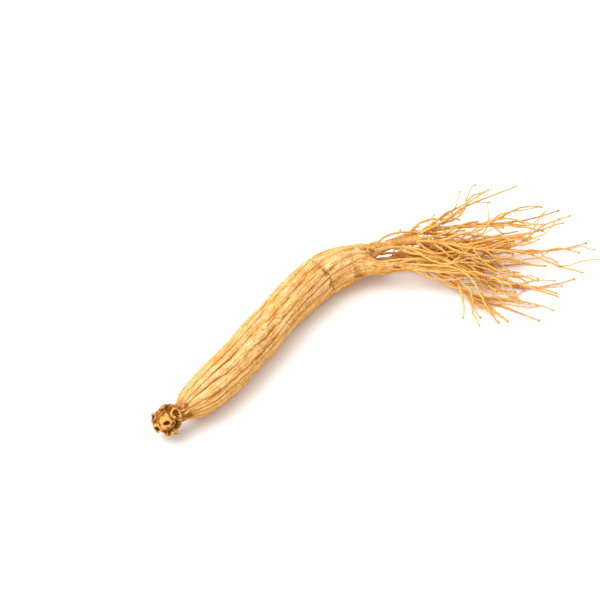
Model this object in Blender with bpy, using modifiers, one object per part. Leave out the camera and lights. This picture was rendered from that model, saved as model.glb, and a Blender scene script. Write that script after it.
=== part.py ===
"""A dried ginseng root lying on a table: a knobbly crown with the scars of old stems, a plump
furrowed body that bends near its far end, and legs there that divide into a spray of rootlets.

The root grew as one piece, so it is one solid. Every size below is in millimetres, in the frame
of the drawing: +Z up, the table at Z = 0, the crown towards -X and the spray towards +X.
"""

import math
import random

import bmesh
import bpy
import numpy as np
from mathutils import Matrix, Vector

MM = 0.001
NAME = "ginseng_root"

# The middle of the whole root's box on the table, which becomes the origin
BOX_MIDDLE = (20.12, -19.8)

# The body: points on its axis, each with x, y, height and radius
BODY_ROUTE = [
    (-74.4, -31.2, 8.8, 3.2),
    (-72.8, -30.5, 8.8, 3.9),
    (-70.9, -29.9, 8.8, 4.9),
    (-68.0, -28.8, 8.7, 6.3),
    (-60.0, -25.9, 8.5, 8.0),
    (-46.0, -19.9, 8.3, 8.7),
    (-30.0, -12.0, 8.4, 8.8),
    (-12.0, -2.8, 8.5, 8.9),
    (5.0, 4.8, 8.6, 9.2),
    (18.0, 8.5, 8.9, 9.2),
    (27.2, 8.9, 9.1, 8.35),
    (32.9, 8.2, 9.5, 6.5),
    (36.3, 6.9, 9.8, 4.8),
    (39.0, 5.4, 10.0, 2.1),
    (40.0, 4.8, 10.1, 0.9),
]
BODY_RINGS = 39
# How much closer the rings stand at the body's two ends than on average: 1 would crowd them there
RING_CROWDING = 0.5
RIDGES = 16
SIDES_PER_RIDGE = 4
SHOULDER_FURROW = 1.0
BODY_FURROW = 0.75
SHOULDER_LENGTH = 22.0
# Below this radius of the body its furrows get shallower, and so does each by turns down to a share
FULL_DEPTH_RADIUS = 6.0
FURROW_SHARE = 0.65
FURROW_WAVE = 7.0
# How square the ridges are between furrows: 1 would make each a sine, less makes it broader
RIDGE_BREADTH = 0.7
RIDGE_TWIST = 0.3
TWIST_LENGTH = 38.0
RIDGE_UNEVENNESS = 0.06
OVAL = 0.03
OVAL_TURN = 30.0
LUMPS = 0.014
LUMP_LENGTHS = (6.5, 4.1)
# The ring of an old scar across the body, by its distance from the neck
SCAR_AT = 95.3
SCAR_WIDTH = 1.4
SCAR_DEPTH = 0.7

# The crown: a short thick stump, and on it the cups where each year's stem broke off
STUMP_ROUTE = [
    (-69.0, -30.0, 8.7, 3.2),
    (-73.5, -30.8, 8.7, 3.7),
    (-76.5, -31.0, 8.6, 4.4),
    (-79.5, -30.7, 8.4, 5.0),
    (-82.3, -30.1, 8.3, 4.6),
    (-85.0, -29.5, 8.2, 3.0),
]
STUMP_POINTS = 10
STUMP_CENTRE = (-79.6, -30.6, 8.4)
# Each cup: the way it points, how far its rim stands from the stump's centre, and its rim radius
CUPS = [
    ((-0.44, -0.73, 0.53), 7.6, 2.6),
    ((-0.95, 0.26, 0.16), 6.6, 2.0),
    ((-0.92, -0.26, -0.28), 7.2, 2.1),
    ((0.33, -0.54, 0.77), 6.9, 2.0),
    ((-0.20, 0.38, 0.90), 6.3, 1.7),
    ((-0.50, -0.62, -0.60), 7.0, 1.6),
    ((-0.04, -0.86, -0.50), 6.7, 1.6),
    ((-0.36, 0.86, 0.30), 5.7, 2.1),
    ((0.12, 0.84, -0.52), 6.2, 2.1),
    ((-0.72, 0.30, -0.62), 6.9, 2.0),
]
# A cup's outline, in rim radii: (distance from its axis, height above its rim)
CUP_OUTLINE = [(0.0, -0.62), (0.4, -0.5), (0.66, 0.0), (0.95, -0.05), (1.14, -0.5), (1.2, -1.1)]
CUP_SIDES = 9

# The legs: points on each axis, with x, y, height and radius
LEGS = {
    "upper": [
        (24.0, 9.4, 10.2, 5.4),
        (34.0, 8.9, 11.4, 4.4),
        (43.5, 7.2, 12.2, 3.0),
        (48.0, 6.2, 12.5, 2.3),
        (53.0, 5.0, 12.6, 1.8),
        (63.5, 0.4, 12.0, 1.25),
        (73.0, -5.2, 10.2, 1.1),
        (82.0, -11.3, 8.0, 0.95),
        (92.0, -16.2, 6.4, 0.85),
        (104.0, -23.5, 5.2, 0.7),
        (115.0, -28.6, 5.0, 0.6),
        (126.5, -32.3, 6.0, 0.5),
    ],
    "middle": [
        (22.0, 7.0, 8.8, 5.4),
        (30.0, 4.6, 9.4, 4.6),
        (36.0, 0.9, 10.0, 3.4),
        (40.6, -2.9, 10.5, 2.5),
        (45.8, -6.4, 10.8, 2.0),
        (51.5, -9.3, 9.4, 1.6),
        (56.6, -12.2, 8.4, 1.35),
        (60.4, -16.8, 6.0, 1.1),
        (63.4, -23.4, 3.2, 0.9),
        (67.6, -31.0, 1.4, 0.8),
        (73.2, -40.4, 0.9, 0.65),
        (80.8, -57.0, 1.0, 0.5),
    ],
    "under": [
        (24.0, 8.6, 7.4, 4.4),
        (37.2, 6.4, 6.4, 2.5),
        (44.8, 4.6, 5.8, 1.95),
        (55.5, 4.6, 5.1, 1.8),
        (63.2, 1.6, 5.2, 1.5),
        (68.6, -4.2, 4.4, 1.25),
        (72.4, -12.0, 3.2, 1.0),
        (76.4, -21.0, 2.0, 0.85),
        (82.0, -30.0, 1.3, 0.7),
        (90.5, -38.0, 1.0, 0.6),
        (101.5, -42.0, 0.9, 0.5),
        (111.0, -43.6, 0.8, 0.45),
    ],
    "back": [
        (22.0, 11.0, 8.8, 4.4),
        (33.0, 11.8, 8.4, 2.9),
        (43.0, 12.0, 8.4, 1.9),
        (55.0, 11.4, 8.8, 1.5),
        (69.0, 9.2, 9.2, 1.2),
        (84.0, 4.6, 8.9, 0.95),
        (99.0, -2.4, 8.6, 0.8),
        (113.0, -8.6, 9.2, 0.6),
        (127.0, -12.4, 10.8, 0.5),
    ],
    "low": [
        (24.0, 10.0, 5.8, 3.4),
        (35.0, 11.2, 4.8, 2.4),
        (45.6, 8.2, 3.6, 1.7),
        (57.6, 4.9, 2.6, 1.3),
        (69.0, -0.6, 1.9, 1.05),
        (78.0, -10.0, 1.4, 0.85),
        (88.0, -18.6, 1.1, 0.7),
        (101.0, -25.0, 0.9, 0.5),
    ],
}
LEG_SPACING = 4.8

# Long rootlets: the leg each grows from, how far along it, and where its tip lies
LONG_ROOTLETS = [
    ("upper", 0.48, (125.0, -19.0, 9.0)),
    ("upper", 0.58, (115.5, -44.0, 2.0)),
    ("upper", 0.40, (104.0, -6.0, 15.0)),
    ("upper", 0.70, (118.0, -37.5, 7.5)),
    ("middle", 0.42, (97.5, -50.5, 1.2)),
    ("middle", 0.55, (90.0, -55.5, 0.9)),
    ("middle", 0.62, (66.0, -49.0, 0.8)),
    ("under", 0.45, (105.0, -32.0, 2.4)),
    ("under", 0.62, (98.0, -47.5, 1.0)),
    ("back", 0.38, (121.0, 9.0, 13.5)),
    ("back", 0.55, (126.0, -2.5, 7.0)),
    ("back", 0.30, (98.0, 16.5, 5.0)),
    ("low", 0.45, (112.0, -14.0, 3.0)),
    ("low", 0.30, (92.0, 8.0, 1.2)),
]
# Side rootlets: how many grow from each leg
SIDE_ROOTLETS = {"upper": 6, "middle": 5, "under": 5, "back": 6, "low": 5}
SEED = 21
SIDE_START = (0.2, 0.65)
SIDE_LENGTH = (22.0, 44.0)
SIDE_SPREAD = (0.12, 0.5)
SIDE_LIFT = (-0.3, 0.3)
# The room that the side rootlets' tips keep to: its lowest and highest corners
ROOM = ((-90.0, -58.0, 0.55), (126.5, 16.0, 17.0))
ROOTLET_SHARE = 0.62
ROOTLET_THICKEST = 0.75
ROOTLET_TIP = 0.42
ROOTLET_POINTS = 9
WAVE = 0.05
TABLE_GAP = 0.12

# The block that cuts the flat: half its length, half its width, and how deep it goes
CUTTER = (140.0, 80.0, 4.0)
SKIN_COLOUR = (0.83, 0.56, 0.27, 1.0)


def clear_scene():
    for obj in list(bpy.data.objects):
        bpy.data.objects.remove(obj, do_unlink=True)


def along_curve(points):
    """A smooth curve through points, as many close rows, and each row's distance along it. Each
    stretch between two points is a cubic that leaves and arrives along the line that joins their
    neighbours."""
    knots = np.array(points, float)
    before = np.vstack([2 * knots[0] - knots[1], knots[:-2]])
    after = np.vstack([knots[2:], 2 * knots[-1] - knots[-2]])
    fine = np.linspace(0, 1, 24, endpoint=False)[:, None]
    rows = []
    for a, b, c, d in zip(before, knots[:-1], knots[1:], after):
        rows.append(
            0.5 * (2 * b + (c - a) * fine + (2 * a - 5 * b + 4 * c - d) * fine**2
                   + (3 * b - a - 3 * c + d) * fine**3)
        )
    rows = np.vstack([*rows, knots[-1:]])
    steps = np.linalg.norm(np.diff(rows[:, :3], axis=0), axis=1)
    return rows, np.concatenate([[0], np.cumsum(steps)])


def through(points, count):
    """A smooth curve through points, as count rows evenly spaced along it."""
    rows, along = along_curve(points)
    places = np.linspace(0, along[-1], count)
    return np.stack([np.interp(places, along, column) for column in rows.T], axis=1)


def placed(point):
    """A point of the drawing, in metres in the root's own frame."""
    return Vector((point[0] - BOX_MIDDLE[0], point[1] - BOX_MIDDLE[1], point[2])) * MM


def body_reach(along, angle, side, radius):
    """How far the skin stands from the axis. Ridges run along the body, each furrow deeper and
    shallower by turns, all deepest at the shoulder, and a scar rings the body near its bend."""
    furrow = (side + SIDES_PER_RIDGE // 2) // SIDES_PER_RIDGE % RIDGES
    place = side % SIDES_PER_RIDGE
    hollow = 1 - math.sin(math.pi * place / SIDES_PER_RIDGE) ** RIDGE_BREADTH
    fade = math.exp(-along / SHOULDER_LENGTH)
    depth = BODY_FURROW + (SHOULDER_FURROW - BODY_FURROW) * fade
    depth *= FURROW_SHARE + (1 - FURROW_SHARE) * math.sin(2.4 * furrow + along / FURROW_WAVE)
    depth *= min(1.0, radius / FULL_DEPTH_RADIUS)
    lumps = math.sin(along / LUMP_LENGTHS[0]) + math.sin(along / LUMP_LENGTHS[1] + 2 * angle)
    swell = 1 + OVAL * math.cos(2 * angle + along / OVAL_TURN) + LUMPS * lumps
    scar = SCAR_DEPTH * math.exp(-(((along - SCAR_AT) / SCAR_WIDTH) ** 2))
    return radius * swell - depth * hollow - scar


def ring_places(length):
    """Where the body's rings stand: closer at its two ends, and three across its scar."""
    even = np.linspace(0, 1, BODY_RINGS)
    crowded = even - RING_CROWDING * np.sin(2 * math.pi * even) / (2 * math.pi)
    scar = [SCAR_AT - SCAR_WIDTH, SCAR_AT, SCAR_AT + SCAR_WIDTH]
    clear = [place for place in crowded * length if abs(place - SCAR_AT) > 1.6 * SCAR_WIDTH]
    return sorted(clear + scar)


def make_body():
    """The body, lofted through rings that stand square to its axis. The rings' corners follow
    the furrows, which turn slowly round it and stand unevenly apart."""
    curve, along_rows = along_curve(BODY_ROUTE)
    length = along_rows[-1]
    tangents = np.gradient(curve[:, :3], axis=0)
    sides = RIDGES * SIDES_PER_RIDGE
    mesh = bmesh.new()
    rings = []
    for along in ring_places(length):
        row = [np.interp(along, along_rows, column) for column in curve.T]
        forward = Vector([np.interp(along, along_rows, column) for column in tangents.T]).normalized()
        across = Vector((0, 0, 1)).cross(forward).normalized()
        up = forward.cross(across)
        ring = []
        for side in range(sides):
            angle = 2 * math.pi * side / sides + RIDGE_TWIST * math.sin(along / TWIST_LENGTH)
            angle += RIDGE_UNEVENNESS * (math.sin(3 * angle + 1) + math.sin(5 * angle + along / 25))
            reach = body_reach(along, angle, side, row[3])
            offset = across * math.cos(angle) * reach + up * math.sin(angle) * reach
            ring.append(mesh.verts.new(placed(Vector(row[:3]) + offset)))
        rings.append(ring)
    for near, far in zip(rings, rings[1:]):
        for side in range(sides):
            after = (side + 1) % sides
            mesh.faces.new((near[side], near[after], far[after], far[side]))
    for ring, row in ((rings[0], curve[0]), (rings[-1], curve[-1])):
        pole = mesh.verts.new(placed(row[:3]))
        for side in range(sides):
            mesh.faces.new((ring[side], ring[(side + 1) % sides], pole))
    bmesh.ops.recalc_face_normals(mesh, faces=mesh.faces)
    return object_of(mesh, NAME)


def object_of(mesh, name):
    data = bpy.data.meshes.new(name)
    mesh.to_mesh(data)
    mesh.free()
    obj = bpy.data.objects.new(name, data)
    bpy.context.scene.collection.objects.link(obj)
    return obj


def as_mesh(obj):
    """The object as its modifiers or bevel leave it, with its caps welded."""
    graph = bpy.context.evaluated_depsgraph_get()
    data = bpy.data.meshes.new_from_object(obj.evaluated_get(graph))
    mesh = bmesh.new()
    mesh.from_mesh(data)
    bmesh.ops.remove_doubles(mesh, verts=mesh.verts, dist=0.00001)
    bmesh.ops.recalc_face_normals(mesh, faces=mesh.faces)
    solid = object_of(mesh, obj.name + "_solid")
    solid.matrix_world = obj.matrix_world
    bpy.data.objects.remove(obj, do_unlink=True)
    return solid


def make_tube(name, rows, resolution):
    """A tapering tube along rows of x, y, height and radius: a curve with a round bevel."""
    data = bpy.data.curves.new(name, "CURVE")
    data.dimensions = "3D"
    data.bevel_depth = MM
    data.bevel_resolution = resolution
    data.use_fill_caps = True
    spline = data.splines.new("POLY")
    spline.points.add(len(rows) - 1)
    for point, row in zip(spline.points, rows):
        point.co = (*placed(row), 1)
        point.radius = row[3]
    tube = bpy.data.objects.new(name, data)
    bpy.context.scene.collection.objects.link(tube)
    return as_mesh(tube)


def make_cup(name, pointing, reach, rim):
    """The hollow scar of an old stem, turned about its own axis and set into the stump."""
    outline = [(distance * rim * MM, 0, height * rim * MM) for distance, height in CUP_OUTLINE]
    outline += [(0.5 * rim * MM, 0, -0.8 * reach * MM), (0, 0, -0.8 * reach * MM)]
    data = bpy.data.meshes.new(name)
    data.from_pydata(outline, [(i, i + 1) for i in range(len(outline) - 1)], [])
    cup = bpy.data.objects.new(name, data)
    bpy.context.scene.collection.objects.link(cup)
    turn = cup.modifiers.new("turn", "SCREW")
    turn.steps = CUP_SIDES
    turn.render_steps = CUP_SIDES
    turn.use_merge_vertices = True
    turn.merge_threshold = 0.00001
    direction = Vector(pointing).normalized()
    rim_centre = placed(Vector(STUMP_CENTRE) + direction * reach)
    facing = direction.to_track_quat("Z", "Y").to_matrix().to_4x4()
    cup.matrix_world = Matrix.Translation(rim_centre) @ facing
    bpy.context.view_layer.update()
    return as_mesh(cup)


def rootlet_rows(leg, start, tip, waves):
    """A rootlet that leaves its leg along it, bends over to its tip and tapers, with a slow wave
    to the side and another in height. It stays above the table."""
    rows = through(LEGS[leg], 60)
    index = int(start * (len(rows) - 1))
    root, heading = rows[index, :3], rows[index + 1, :3] - rows[index - 1, :3]
    heading = heading / np.linalg.norm(heading)
    tip = np.array(tip, float)
    reach = np.linalg.norm(tip - root)
    v = np.linspace(0, 1, ROOTLET_POINTS)[:, None]
    first = root + heading * reach / 3
    second = tip - (tip - root) * 0.3 + np.array([0, 0, 0.06 * reach])
    line = (1 - v) ** 3 * root + 3 * (1 - v) ** 2 * v * first + 3 * (1 - v) * v**2 * second + v**3 * tip
    across = np.cross((tip - root) / reach, [0, 0, 1.0])
    swing = WAVE * reach * np.sin(math.pi * v) * np.sin(2 * math.pi * (v * waves[0] + waves[1]))
    bob = 0.6 * WAVE * reach * np.sin(math.pi * v) * np.cos(2 * math.pi * (v * waves[0] + waves[2]))
    line = line + across * swing + np.array([0, 0, 1.0]) * bob
    thick = min(ROOTLET_THICKEST, rows[index, 3] * ROOTLET_SHARE)
    radius = thick + (ROOTLET_TIP - thick) * v
    line[:, 2:] = np.maximum(line[:, 2:], radius + TABLE_GAP)
    return np.hstack([line, radius])


def side_tip(leg, start, draw):
    """Where a side rootlet ends: off to one side of its leg, a little up or down, within the room."""
    rows = through(LEGS[leg], 60)
    index = int(start * (len(rows) - 1))
    heading = rows[index + 1, :3] - rows[index - 1, :3]
    heading = heading / np.linalg.norm(heading)
    across = np.cross(heading, [0, 0, 1.0])
    side = draw.choice((-1, 1)) * draw.uniform(*SIDE_SPREAD)
    lift = draw.uniform(*SIDE_LIFT)
    way = heading + across * side + np.array([0, 0, lift])
    tip = rows[index, :3] + way / np.linalg.norm(way) * draw.uniform(*SIDE_LENGTH)
    return np.clip(tip, *ROOM)


def make_rootlets():
    """The long rootlets of the spray, and then those at the legs' sides."""
    draw = random.Random(SEED)
    made = []
    for leg, start, tip in LONG_ROOTLETS:
        waves = (draw.uniform(0.7, 1.5), draw.random(), draw.random())
        made.append(rootlet_rows(leg, start, tip, waves))
    for leg, count in SIDE_ROOTLETS.items():
        for number in range(count):
            place = (number + draw.uniform(0.1, 0.9)) / count
            start = SIDE_START[0] + (SIDE_START[1] - SIDE_START[0]) * place
            tip = side_tip(leg, start, draw)
            waves = (draw.uniform(0.7, 1.5), draw.random(), draw.random())
            made.append(rootlet_rows(leg, start, tip, waves))
    return [make_tube(f"rootlet_{number}", rows, 0) for number, rows in enumerate(made)]


def make_legs():
    made = []
    for name, route in LEGS.items():
        count = round(along_curve(route)[1][-1] / LEG_SPACING)
        made.append(make_tube(f"leg_{name}", through(route, count), 2))
    return made


def make_crown():
    made = [make_tube("stump", through(STUMP_ROUTE, STUMP_POINTS), 3)]
    for number, (pointing, reach, rim) in enumerate(CUPS):
        made.append(make_cup(f"cup_{number}", pointing, reach, rim))
    return made


def fuse(body, growths):
    """Joins everything that grows from the body to it, as one Boolean union on a collection."""
    grown = bpy.data.collections.new("growths")
    bpy.context.scene.collection.children.link(grown)
    for obj in growths:
        bpy.context.scene.collection.objects.unlink(obj)
        grown.objects.link(obj)
    join = body.modifiers.new("join", "BOOLEAN")
    join.operation = "UNION"
    join.operand_type = "COLLECTION"
    join.collection = grown
    join.solver = "MANIFOLD"
    bpy.context.view_layer.objects.active = body
    bpy.ops.object.modifier_apply(modifier=join.name)
    for obj in growths:
        bpy.data.objects.remove(obj, do_unlink=True)
    bpy.data.collections.remove(grown)


def rest_on_table(body):
    """Cuts away the little of the belly that hangs below the table's plane, as a flat to rest on."""
    length, width, depth = (size * MM for size in CUTTER)
    bpy.ops.mesh.primitive_cube_add(size=1, location=(0, 0, -depth / 2))
    table = bpy.context.object
    table.name = "table_cutter"
    table.scale = (2 * length, 2 * width, depth)
    bpy.ops.object.transform_apply(location=False, rotation=False, scale=True)
    cut = body.modifiers.new("rest flat", "BOOLEAN")
    cut.operation = "DIFFERENCE"
    cut.object = table
    cut.solver = "MANIFOLD"
    bpy.context.view_layer.objects.active = body
    bpy.ops.object.modifier_apply(modifier=cut.name)
    bpy.data.objects.remove(table, do_unlink=True)


def give_skin(body):
    skin = bpy.data.materials.new("dried_skin")
    skin.use_nodes = True
    shader = skin.node_tree.nodes["Principled BSDF"]
    shader.inputs["Base Color"].default_value = SKIN_COLOUR
    shader.inputs["Roughness"].default_value = 0.7
    shader.inputs["Metallic"].default_value = 0.0
    body.data.materials.clear()
    body.data.materials.append(skin)
    body.data.shade_smooth()
    body.data.set_sharp_from_angle(angle=math.radians(50))


def main():
    clear_scene()
    body = make_body()
    fuse(body, make_crown() + make_legs() + make_rootlets())
    rest_on_table(body)
    give_skin(body)
    root = bpy.data.collections.new(NAME)
    bpy.context.scene.collection.children.link(root)
    bpy.context.scene.collection.objects.unlink(body)
    root.objects.link(body)


main()
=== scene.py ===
"""A dried ginseng root on a pale floor: the fine wrinkled skin, the crown of old stem scars, the legs
and the spray of rootlets, grown over the plain solid that the frame holds.

The root's own numbers are in millimetres in the frame of its drawing, as in the part's source: +Z up,
the floor at Z = 0, the crown towards -X. metres() takes them into the frame.
"""

import itertools
import math
import random

import bpy
import numpy as np
from bpy.props import FloatProperty, FloatVectorProperty, PointerProperty
from bpy.types import Operator, Panel, PropertyGroup
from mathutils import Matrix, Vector


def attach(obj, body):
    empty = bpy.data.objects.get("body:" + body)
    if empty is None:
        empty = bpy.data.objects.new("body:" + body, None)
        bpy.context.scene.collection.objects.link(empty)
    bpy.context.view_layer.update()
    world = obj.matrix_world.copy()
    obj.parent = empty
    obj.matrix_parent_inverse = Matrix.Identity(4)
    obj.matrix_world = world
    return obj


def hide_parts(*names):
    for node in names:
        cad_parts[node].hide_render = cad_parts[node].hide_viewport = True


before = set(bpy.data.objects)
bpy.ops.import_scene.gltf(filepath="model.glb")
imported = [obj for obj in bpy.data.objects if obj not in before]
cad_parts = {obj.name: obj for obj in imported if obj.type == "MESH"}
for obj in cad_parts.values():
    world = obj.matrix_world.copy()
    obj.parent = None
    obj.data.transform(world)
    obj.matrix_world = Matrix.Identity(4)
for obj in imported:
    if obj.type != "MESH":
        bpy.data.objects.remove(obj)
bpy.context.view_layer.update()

bl_info = {
    "name": "Dried Ginseng Root",
    "version": (1, 0, 0),
    "blender": (4, 5, 0),
    "location": "3D View > Sidebar > Ginseng",
    "description": "Grows a dried ginseng root's skin, crown, legs and rootlets over its plain solid",
    "category": "Add Mesh",
}

MM = 0.001
NODE = "ginseng_root"
BODY = "root"
UP = np.array((0.0, 0.0, 1.0))

# The middle of the whole root's box on the floor, which is the frame's origin
BOX_MIDDLE = (20.12, -19.8)

# The body: points on its axis, each with x, y, height and radius
BODY_ROUTE = [
    (-74.4, -31.2, 8.8, 3.2),
    (-72.8, -30.5, 8.8, 3.9),
    (-70.9, -29.9, 8.8, 4.9),
    (-68.0, -28.8, 8.7, 6.3),
    (-60.0, -25.9, 8.5, 8.0),
    (-46.0, -19.9, 8.3, 8.7),
    (-30.0, -12.0, 8.4, 8.8),
    (-12.0, -2.8, 8.5, 8.9),
    (5.0, 4.8, 8.6, 9.2),
    (18.0, 8.5, 8.9, 9.2),
    (27.2, 8.9, 9.1, 8.35),
    (32.9, 8.2, 9.5, 6.5),
    (36.3, 6.9, 9.8, 4.8),
    (39.0, 5.4, 10.0, 2.1),
]
# The axis is drawn out past both ends of the solid's, into the crown and into the fork of the legs
NECK_TAIL = (-78.5, -31.2, 8.7, 2.6)
FORK_TAIL = (40.6, 4.6, 10.1, 0.3)
BODY_STEP = 0.42
BODY_SIDES = 320
RIDGES = 16
BODY_LINES = 44
SHOULDER_FURROW = 1.0
BODY_FURROW = 0.85
SHOULDER_LENGTH = 22.0
# Furrows have their full depth from this radius of the body up. A share of it is in all of them, and
# the rest comes and goes along each
FULL_DEPTH_RADIUS = 6.0
FURROW_SHARE = 0.65
FURROW_WAVE = 7.0
RIDGE_BREADTH = 0.7
RIDGE_TWIST = 0.3
TWIST_LENGTH = 38.0
RIDGE_UNEVENNESS = 0.06
UNEVEN_LENGTH = 25.0
OVAL = 0.03
OVAL_TURN = 30.0
LUMPS = 0.014
LUMP_LENGTHS = (6.5, 4.1)
MEAN_RADIUS = 8.8
CREASE_WIDTH = 0.34
CREASE_DEPTH = 0.9
NECK_LENGTH = 3.0
CALM_LENGTH = 10.0
# How much painted shade darkens a crease's floor and a furrow's fold, how much the ring scar tints
# the body, and how much paler the whole of it is
CREASE_PAINTED_SHADE, FURROW_PAINTED_SHADE, RING_TINT, PALER = 0.75, 0.42, 0.6, 0.13
# Beyond this distance along it, the body swells as webs towards the legs
FORK_FROM = 84.0
# The ring scar: how far along it lies, its width and depth, and how much it calms the furrows beyond it.
# Then the lip before it, the step down after it and a broken second ring: each one's distance from the
# scar, but for the step how far it takes to fade, then its width, and its height or depth
SCAR_AT = 95.3
SCAR_WIDTH = 1.2
SCAR_DEPTH = 0.4
SCAR_CALMS = 0.35
CALMING_LENGTH = 4.0
SCAR_LIP = (1.6, 0.9, 0.14)
SCAR_STEP = (12.0, 1.5, 0.16)
SECOND_RING = (2.2, 0.4, 0.35)

# Layers of noise, each with its amount, its cell's size and its seed. Cells are in millimetres, but in
# the crown's bend and in its ragged rims they are shares of its radius
FURROW_WANDER = [(0.26, (16.0, 6.0, 6.0), 19), (0.15, (3.6, 3.0, 3.0), 20)]
SCAR_WANDER = [(0.7, (40.0, 5.0, 5.0), 11), (0.6, 1.5, 10)]
NECK_ROUGHNESS = [(0.28, 1.6, 16), (0.168, 0.7, 17)]
LINE_BEND = [(0.75, (17.0, 5.0, 5.0), 0), (0.3, (5.0, 2.4, 2.4), 1)]
SWELLS = [(1.0, (7.0, 2.3, 2.3), 9), (0.35, (2.2, 1.5, 1.5), 82)]
LEG_KNOBS = [(0.08, (6.0, 30.0, 30.0), 0), (0.06, (2.6, 3.0, 3.0), 9)]
CROWN_BEND = [(1.0, 1 / 2.4, 0), (0.4, 1 / 5.5, 5)]
RAGGED_RIMS = [(0.75, 1 / 2.3, 30), (0.3, 1 / 5.5, 50)]
CROWN_GRIT = [(0.26, 1.9, 41), (0.17, 0.85, 42), (0.08, 0.42, 43)]

# How much the parallel lines, the dips beside them, the thin lines and the swells sink the skin, and
# how much they tint it: darker in the lines and dips, partly the skin's own deeper lines and partly
# painted shade, and paler where the swells are high as a painted highlight, darker where low as
# painted shade
SKIN_MIX = [(0.6, 0.36), (0.4, 0.2), (0.35, 0.36), (-0.7, -0.33)]
SKIN_TINT = 0.03
# Layers of creases in the skin, each with its length and spacing, its sharpness, its seed, its strength
# where the skin lies low and where it rises, and how much it sinks the skin and how much painted shade
# darkens it
CREASE_LAYERS = [
    (15.0, 1.9, 0.09, 6, 0.3, 1.0, 0.5, 0.34),
    (5.5, 0.62, 0.16, 7, 1.0, 1.0, 0.25, 0.22),
    (0.75, 2.6, 0.15, 8, 1.0, 0.3, 0.35, 0.25),
    (1.9, 1.3, 0.12, 81, 1.0, 0.4, 0.4, 0.3),
]
# The parallel lines: how far each runs before its strength changes, its width as a share of its strip,
# and how much wider the skin dips beside it
LINE_LENGTH = 12.0
LINE_WIDTH = 0.13
LINE_DIP = 2.3

# Dark scars and clefts on the body and the legs: the two ends of each, its radius, its depth and how
# brown it is
SCARS = [
    ((34.9, 7.2, 15.7), (37.4, 6.3, 15.2), 0.6, 0.7, 1.0),
    ((38.6, 5.6, 14.7), (40.2, 4.8, 13.6), 0.8, 0.6, 1.0),
    ((37.0, 5.0, 14.4), (39.0, 4.0, 13.2), 0.5, 0.3, 0.6),
    ((27.1, 6.1, 16.8), (27.0, 4.4, 15.9), 0.5, 0.2, 0.2),
    ((27.6, 2.6, 14.6), (28.3, 0.8, 12.0), 0.7, 0.35, 0.25),
    ((28.3, 0.8, 12.0), (29.0, -0.2, 9.4), 0.7, 0.4, 0.35),
    ((28.2, 0.2, 8.2), (31.4, -0.4, 7.4), 0.9, 0.9, 1.0),
    ((42.9, -6.9, 11.9), (43.3, -7.2, 11.3), 0.6, 0.6, 1.0),
    ((44.1, -7.5, 11.5), (44.6, -7.7, 10.9), 0.6, 0.5, 1.0),
    ((12.5, 5.3, 17.6), (13.7, 3.0, 17.0), 0.55, 0.35, 0.9),
    ((14.3, 2.3, 16.2), (14.9, 1.4, 15.3), 0.6, 0.4, 1.0),
    ((10.8, 10.2, 17.2), (11.3, 7.9, 18.0), 0.45, 0.15, 0.4),
    ((15.0, -0.4, 12.5), (15.5, -0.7, 11.2), 0.5, 0.4, 0.8),
    ((15.3, -0.7, 10.9), (16.4, -0.7, 9.2), 0.65, 0.4, 0.5),
    ((16.1, -0.7, 8.7), (17.2, -0.4, 6.6), 0.5, 0.45, 0.7),
    ((22.9, 3.4, 15.9), (23.3, 3.1, 15.6), 0.5, 0.15, 0.45),
    ((-72.6, -32.0, 11.9), (-72.0, -31.6, 12.0), 0.7, 0.5, 1.0),
    ((-71.9, -34.1, 8.9), (-71.2, -34.4, 8.4), 0.7, 0.5, 1.0),
    ((-73.0, -28.2, 10.9), (-72.2, -27.8, 11.0), 0.6, 0.5, 1.0),
    ((-73.0, -31.4, 5.2), (-72.0, -31.4, 4.9), 0.7, 0.5, 1.0),
]

# The crown: its middle, and each cup's way, its rim's distance from the middle, its rim radius, how
# deep it is and its hole's radius
CROWN_MIDDLE = (-79.6, -30.6, 8.4)
CUPS = [
    ((-0.44, -0.73, 0.53), 7.8, 3.0, 1.5, 1.7),
    ((-0.90, 0.15, 0.40), 6.9, 1.7, 2.2, 1.3),
    ((-0.91, -0.42, -0.04), 7.5, 1.9, 2.0, 1.4),
    ((0.33, -0.54, 0.77), 6.9, 2.4, 3.0, 1.7),
    ((-0.20, 0.38, 0.90), 6.3, 1.7, 0.2, 0.8),
    ((-0.50, -0.62, -0.60), 7.1, 1.6, 0.3, 0.8),
    ((-0.04, -0.86, -0.50), 6.9, 1.7, 0.4, 0.8),
    ((-0.36, 0.86, 0.30), 5.5, 2.1, 1.4, 1.2),
    ((0.12, 0.84, -0.52), 6.2, 2.1, 1.6, 1.2),
    ((-0.72, 0.30, -0.62), 6.9, 2.0, 1.0, 1.0),
    ((-0.62, 0.14, 0.77), 5.9, 1.7, 0.2, 0.7),
]
# Dents in the crown's bark: the way of each, its radius, its depth and how dark painted shade makes its
# middle
DENTS = [
    ((-0.84, -0.28, 0.42), 2.4, 0.5, 0.0),
    ((-0.40, 0.66, 0.63), 3.2, 1.0, 0.0),
    ((0.04, 0.03, 1.0), 2.0, 1.3, 0.45),
    ((0.32, -0.94, 0.03), 2.2, 1.7, 1.0),
    ((0.26, -0.76, 0.60), 0.7, 1.1, 1.0),
    ((-0.36, -0.80, -0.44), 0.8, 1.4, 0.9),
    ((-0.14, -0.90, 0.35), 1.2, 0.8, 0.3),
]
# The stump's radius, and how much more it is along the root. A cup's flank slopes away from a shoulder,
# which is a share of its rim radius. Where cups meet, they merge over a short distance with a crevice
STUMP_RADIUS = 5.2
STUMP_STRETCH = 0.7
FLANK = 2.5
SHOULDER = 0.84
MERGE = 0.55
CREVICE_WIDTH = 0.32
CREVICE_DEPTH = 0.35
CRACK_DEPTH = 0.22
# How brown the crown's bark is at the least, how much more in patches, and how much painted shade
# browns its lower side and its dark dents. Rims are paler by a share
CROWN_BROWN, PATCH_BROWN, LOWER_PAINTED_SHADE, DENT_PAINTED_SHADE = 0.62, 0.38, 0.3, 0.3
RIM_PALER = 0.85
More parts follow.
